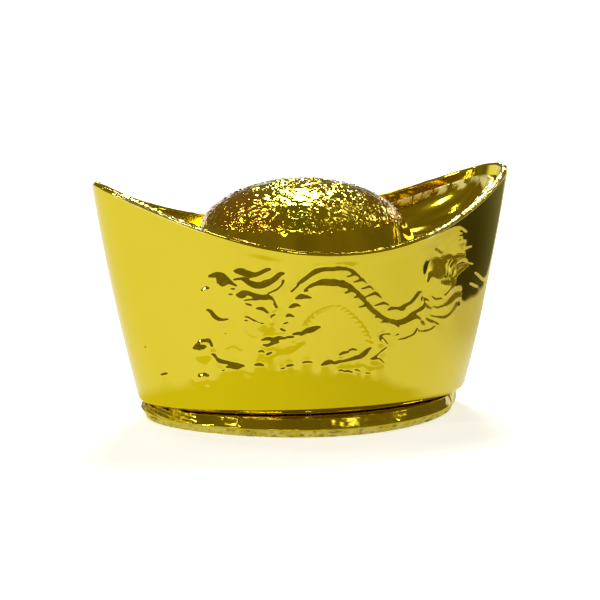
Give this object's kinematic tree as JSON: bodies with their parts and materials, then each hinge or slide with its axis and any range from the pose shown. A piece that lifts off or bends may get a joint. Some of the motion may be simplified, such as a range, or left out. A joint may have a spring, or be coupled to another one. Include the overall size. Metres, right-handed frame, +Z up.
{
  "type": "feng shui ingot",
  "caption": "Boat-shaped ornamental gold ingot with raised tips, a dome in a boat-shaped tray, a dragon in relief and an oval foot.",
  "frame": {"origin": "centre of the flat underside that the ingot stands on", "axes": "+X along the length towards the right tip, +Y away from the side with the dragon, +Z up"},
  "size_m": [0.0648, 0.042, 0.036],
  "materials": {
    "hull_gold": "mirror-bright gold metallising on moulded plastic",
    "tray_gold": "mirror-bright gold metallising, finely hammered on the dome",
    "foot_gold": "bright gold metallising, slightly uneven",
    "plate_gold": "dull gold metallising with a rough, chipped moulding edge"
  },
  "bodies": {
    "root": {"hull": "hull_gold", "domed_tray": "tray_gold", "foot_ring": "foot_gold", "bottom_plate": "plate_gold"}
  },
  "joints": []
}
